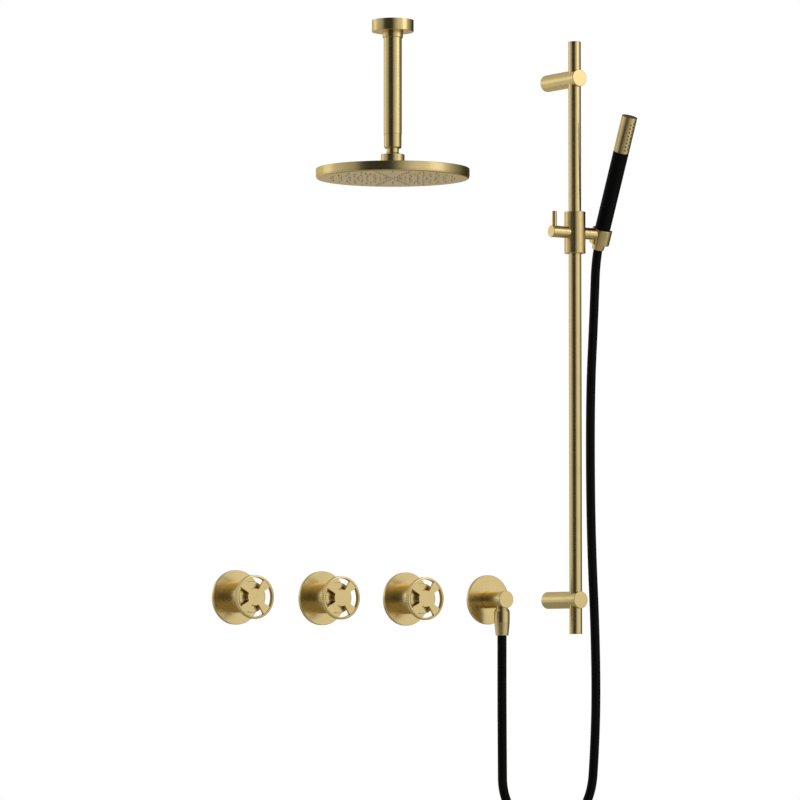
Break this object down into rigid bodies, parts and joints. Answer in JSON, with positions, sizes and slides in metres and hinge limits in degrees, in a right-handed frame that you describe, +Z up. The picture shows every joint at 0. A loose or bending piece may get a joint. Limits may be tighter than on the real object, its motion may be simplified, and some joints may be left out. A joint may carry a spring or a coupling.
{
  "type": "shower set",
  "caption": "Ceiling rain head, three wall valves, hose outlet, slide rail and stick hand shower in brushed brass with a black hose.",
  "frame": {"origin": "on the finished wall, on the middle valve's axis", "axes": "+Z up, wall on Y = 0 with the fittings in front at -Y, +X to the right seen from the room"},
  "size_m": [0.6692, 0.4475, 1.2153],
  "materials": {
    "brushed_brass": "brushed satin brass",
    "white_nylon": "moulded nylon",
    "cream_silicone": "cream silicone",
    "clear_seal": "soft seal",
    "dark_silicone": "dark silicone",
    "black_grip": "matte black sleeve",
    "grey_plastic": "plain tube",
    "black_hose": "smooth matte black",
    "steel_screw": "stainless steel"
  },
  "bodies": {
    "root": {"ceiling_flange": "brushed_brass", "arm_collar": "brushed_brass", "ceiling_bush": "brushed_brass", "shower_arm": "brushed_brass", "arm_sleeve": "brushed_brass", "ball_stem": "brushed_brass", "valve_body_left": "brushed_brass", "headwork_left": "brushed_brass", "wall_plate_left": "brushed_brass", "sleeve_left": "brushed_brass", "valve_body_centre": "brushed_brass", "headwork_centre": "brushed_brass", "wall_plate_centre": "brushed_brass", "sleeve_centre": "brushed_brass", "valve_body_right": "brushed_brass", "headwork_right": "brushed_brass", "wall_plate_right": "brushed_brass", "sleeve_right": "brushed_brass", "outlet_plate": "brushed_brass", "outlet_elbow": "brushed_brass", "outlet_tail": "brushed_brass", "check_valve": "white_nylon", "hose_nut_lower": "brushed_brass", "rail_tube": "brushed_brass", "rail_caps": "brushed_brass", "bracket_lower": "brushed_brass", "bracket_upper": "brushed_brass", "bracket_bases": "brushed_brass", "plate_seals": "clear_seal", "grub_screws": "steel_screw", "hose": "black_hose"},
    "rain_seat": {"ball_seat": "white_nylon"},
    "rain_head": {"swivel_nut": "brushed_brass", "head_shell": "brushed_brass", "face_plate": "brushed_brass", "nozzle_mat": "cream_silicone"},
    "handle_left": {"wheel_left": "brushed_brass", "spindle_left": "brushed_brass", "wheel_screw_left": "steel_screw"},
    "handle_centre": {"wheel_centre": "brushed_brass", "spindle_centre": "brushed_brass", "wheel_screw_centre": "steel_screw"},
    "handle_right": {"wheel_right": "brushed_brass", "spindle_right": "brushed_brass", "wheel_screw_right": "steel_screw"},
    "slider": {"slider_body": "brushed_brass", "slider_bush": "white_nylon", "clamp_pad": "white_nylon", "holder_pivot": "steel_screw"},
    "clamp": {"clamp_knob": "brushed_brass", "clamp_lever": "brushed_brass", "clamp_stud": "steel_screw"},
    "holder": {"holder_cradle": "brushed_brass", "hose_sleeve": "black_hose"},
    "hand_shower": {"hand_head": "brushed_brass", "hand_jets": "dark_silicone", "hand_grip": "black_grip", "water_tube": "grey_plastic", "hose_nut_upper": "brushed_brass"}
  },
  "joints": [
    {"name": "rain_tilt_x", "type": "hinge", "parent": "root", "child": "rain_seat", "pos_m": [-0.075, -0.3075, 0.6242], "axis": [1, 0, 0], "range_deg": [-12, 12]},
    {"name": "rain_tilt_y", "type": "hinge", "parent": "rain_seat", "child": "rain_head", "pos_m": [-0.075, -0.3075, 0.6242], "axis": [0, 1, 0], "range_deg": [-12, 12]},
    {"name": "valve_left_turn", "type": "hinge", "parent": "root", "child": "handle_left", "pos_m": [-0.15, -0.05, 0], "axis": [0, -1, 0], "range_deg": [0, 90]},
    {"name": "valve_centre_turn", "type": "hinge", "parent": "root", "child": "handle_centre", "pos_m": [0, -0.05, 0], "axis": [0, -1, 0], "range_deg": [-45, 45]},
    {"name": "valve_right_turn", "type": "hinge", "parent": "root", "child": "handle_right", "pos_m": [0.15, -0.05, 0], "axis": [0, -1, 0], "range_deg": [0, 90]},
    {"name": "slider_slide", "type": "slide", "parent": "root", "child": "slider", "axis": [0, 0, 1], "range_m": [-0.516, 0.19], "deforming": ["hose"]},
    {"name": "clamp_turn", "type": "hinge", "parent": "slider", "child": "clamp", "pos_m": [0.4156, -0.0725, 0.5625], "axis": [1, 0, 0], "range_deg": [0, 120]},
    {"name": "holder_tilt", "type": "hinge", "parent": "slider", "child": "holder", "pos_m": [0.4656, -0.0725, 0.5625], "axis": [1, 0, 0], "range_deg": [-35, 25], "deforming": ["hose_sleeve"]},
    {"name": "hand_spin", "type": "hinge", "parent": "holder", "child": "hand_shower", "pos_m": [0.4656, -0.0725, 0.5625], "axis": [0, -0.3907, 0.9205], "continuous": true}
  ]
}
